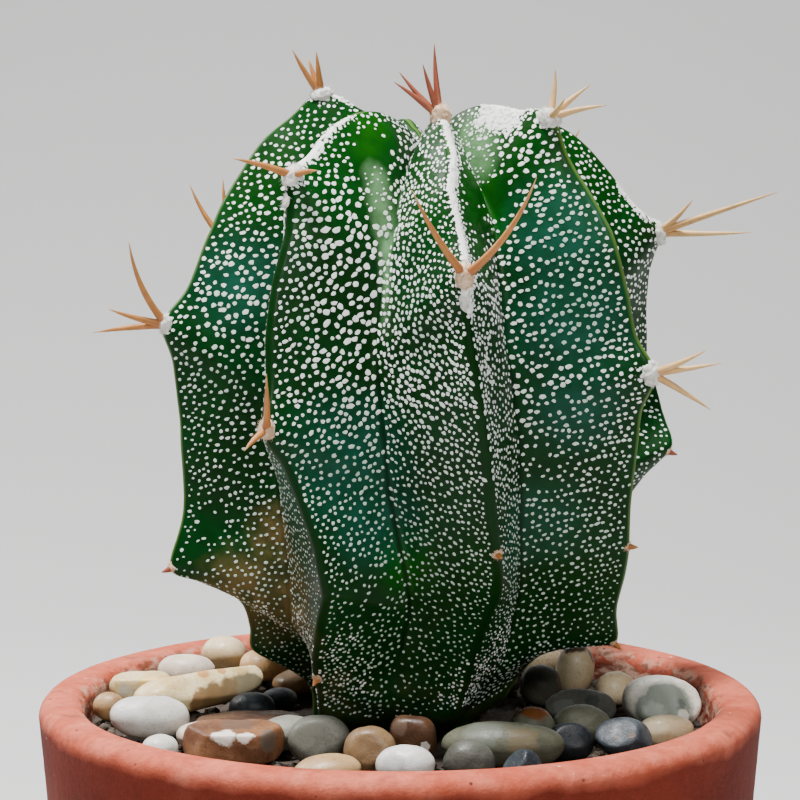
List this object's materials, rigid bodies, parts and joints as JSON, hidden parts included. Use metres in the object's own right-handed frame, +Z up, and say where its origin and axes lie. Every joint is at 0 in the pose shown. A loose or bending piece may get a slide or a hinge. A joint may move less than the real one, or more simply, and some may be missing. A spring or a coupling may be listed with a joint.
{
  "type": "potted astrophytum",
  "caption": "Ribbed star cactus with woolly, long-spined areoles and white flecks, in a plain terracotta pot dressed with river pebbles.",
  "frame": {"origin": "under the middle of the pot, on the surface that it stands on", "axes": "+Z up, -Y towards the front of the plant, +X to its right"},
  "size_m": [0.1225, 0.12, 0.2147],
  "materials": {
    "terracotta": "dry unglazed clay",
    "grit_soil": "damp gritty mix",
    "cactus_skin": "waxy skin with white felt flecks",
    "felt_and_spines": "woolly pad with dry horn-coloured spines",
    "stone_rust": "water-worn",
    "stone_honey": "water-worn",
    "stone_slate": "water-worn",
    "stone_pale": "water-worn",
    "stone_white": "water-worn",
    "stone_tan": "water-worn",
    "stone_cream": "water-worn",
    "stone_grey": "water-worn",
    "stone_moss": "water-worn",
    "stone_shell": "water-worn"
  },
  "bodies": {
    "root": {"pot": "terracotta", "growing_mix": "grit_soil", "stem": "cactus_skin", "areole_A1": "felt_and_spines", "areole_A2": "felt_and_spines", "areole_B1": "felt_and_spines", "areole_B2": "felt_and_spines", "areole_C1": "felt_and_spines", "areole_C2": "felt_and_spines", "areole_D1": "felt_and_spines", "areole_D2": "felt_and_spines", "areole_E1": "felt_and_spines", "areole_F1": "felt_and_spines", "areole_F2": "felt_and_spines", "areole_G1": "felt_and_spines", "areole_G2": "felt_and_spines", "areole_H1": "felt_and_spines", "areole_H2": "felt_and_spines", "pebble_01": "stone_rust", "pebble_02": "stone_rust", "pebble_03": "stone_slate", "pebble_04": "stone_honey", "pebble_05": "stone_pale", "pebble_06": "stone_honey", "pebble_07": "stone_white", "pebble_08": "stone_tan", "pebble_09": "stone_white", "pebble_10": "stone_tan", "pebble_11": "stone_cream", "pebble_12": "stone_grey", "pebble_13": "stone_tan", "pebble_14": "stone_white", "pebble_15": "stone_rust", "pebble_16": "stone_moss", "pebble_17": "stone_grey", "pebble_18": "stone_slate", "pebble_19": "stone_moss", "pebble_20": "stone_pale", "pebble_21": "stone_cream", "pebble_22": "stone_grey", "pebble_23": "stone_cream", "pebble_24": "stone_cream", "pebble_25": "stone_shell", "pebble_26": "stone_moss", "pebble_27": "stone_slate", "pebble_28": "stone_slate", "pebble_29": "stone_tan", "pebble_30": "stone_moss", "pebble_31": "stone_pale", "pebble_32": "stone_slate", "pebble_33": "stone_tan", "pebble_34": "stone_pale", "pebble_35": "stone_honey", "pebble_36": "stone_grey", "pebble_37": "stone_rust", "pebble_38": "stone_rust", "pebble_39": "stone_tan", "pebble_40": "stone_honey", "pebble_41": "stone_moss", "pebble_42": "stone_grey"}
  },
  "joints": []
}
